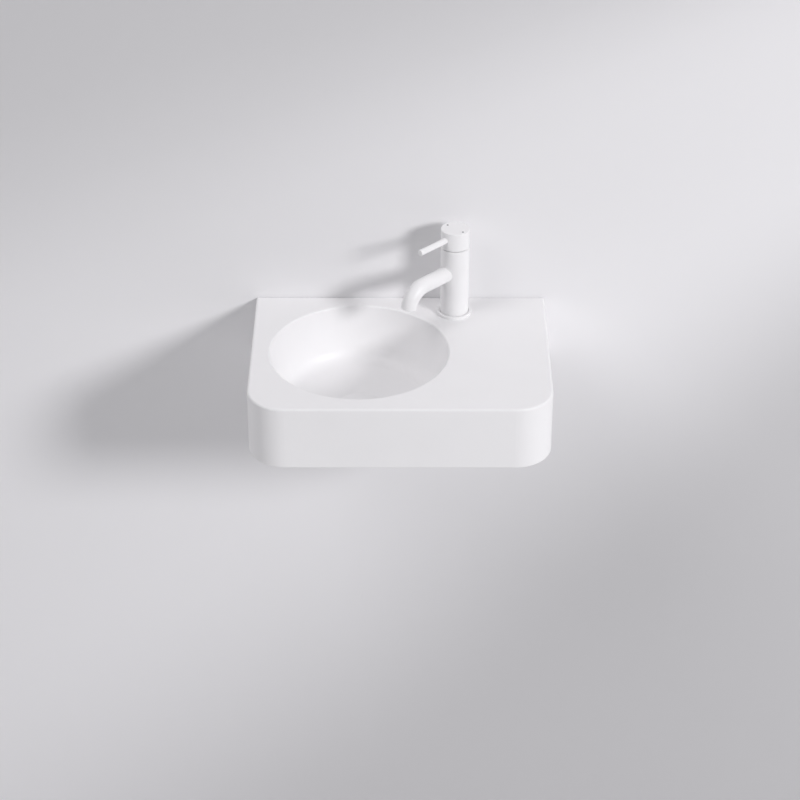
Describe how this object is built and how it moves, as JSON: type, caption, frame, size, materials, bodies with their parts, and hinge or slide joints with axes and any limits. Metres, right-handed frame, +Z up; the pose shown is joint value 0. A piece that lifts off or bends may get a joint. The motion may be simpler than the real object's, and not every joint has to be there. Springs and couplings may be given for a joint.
{
  "type": "wall-hung basin with mixer tap",
  "caption": "Small matt-white wall-hung basin with a round bowl on the left, a shelf on the right, a push-to-open waste and a single-lever mixer tap.",
  "frame": {"origin": "on the wall, midway between the two wall-fixing holes of the rear face", "axes": "+X to the right along the wall, as seen by someone at the basin; +Y into the wall; +Z up"},
  "size_m": [0.4, 0.29, 0.2856],
  "materials": {
    "matt_ceramic": "matt white",
    "white_coat": "matt white coat",
    "polished_chrome": "polished",
    "plain_brass": "machined",
    "stainless_steel": "brushed",
    "black_rubber": "matt",
    "white_plastic": "matt",
    "grey_plastic": "matt",
    "disc_ceramic": "lapped",
    "grey_mark": "gloss"
  },
  "bodies": {
    "fixed": {"basin_shell": "matt_ceramic", "waste_body": "polished_chrome", "flange_seal": "black_rubber", "tapered_washer": "black_rubber", "friction_washer": "white_plastic", "waste_backnut": "plain_brass", "click_housing": "grey_plastic", "tap_body": "white_coat", "base_ring": "white_coat", "base_seal": "black_rubber", "fixing_stud": "stainless_steel", "horseshoe_pad": "black_rubber", "horseshoe_washer": "stainless_steel", "fixing_nut": "plain_brass", "spout": "white_coat", "aerator_housing": "white_plastic", "aerator_insert": "grey_plastic", "aerator_seal": "black_rubber", "cartridge_base": "white_plastic", "port_seals": "black_rubber", "fixed_disc": "disc_ceramic", "cartridge_housing": "white_plastic", "cartridge_nut": "plain_brass"},
    "turning_guide": {"spindle_guide": "grey_plastic", "pivot_pin": "stainless_steel"},
    "lever": {"spindle": "stainless_steel", "lever_head": "white_coat", "lever_pin": "white_coat", "grub_screw": "stainless_steel", "screw_cover": "white_plastic", "head_marks": "grey_mark"},
    "disc": {"moving_disc": "disc_ceramic", "disc_carrier": "grey_plastic"},
    "plug": {"plug_cap": "white_coat", "plug_seal": "black_rubber", "click_plunger": "plain_brass", "click_spring": "stainless_steel"}
  },
  "joints": [
    {"name": "handle_turn", "type": "hinge", "parent": "fixed", "child": "turning_guide", "pos_m": [0.0742, -0.0386, 0.1367], "axis": [0, 0, 1], "range_deg": [-45, 45]},
    {"name": "handle_lift", "type": "hinge", "parent": "turning_guide", "child": "lever", "pos_m": [0.0742, -0.0386, 0.1367], "axis": [-0.7071, 0.7071, 0], "range_deg": [0, 19]},
    {"name": "disc_slide", "type": "slide", "parent": "turning_guide", "child": "disc", "axis": [-0.7071, -0.7071, 0], "range_m": [0, 0.002]},
    {"name": "plug_travel", "type": "slide", "parent": "fixed", "child": "plug", "axis": [0, 0, 1], "range_m": [0, 0.007], "deforming": ["click_spring"]}
  ],
  "couplings": [
    {"joint": "disc_slide", "follows": "handle_lift", "m_per_rad": 0.0058}
  ]
}
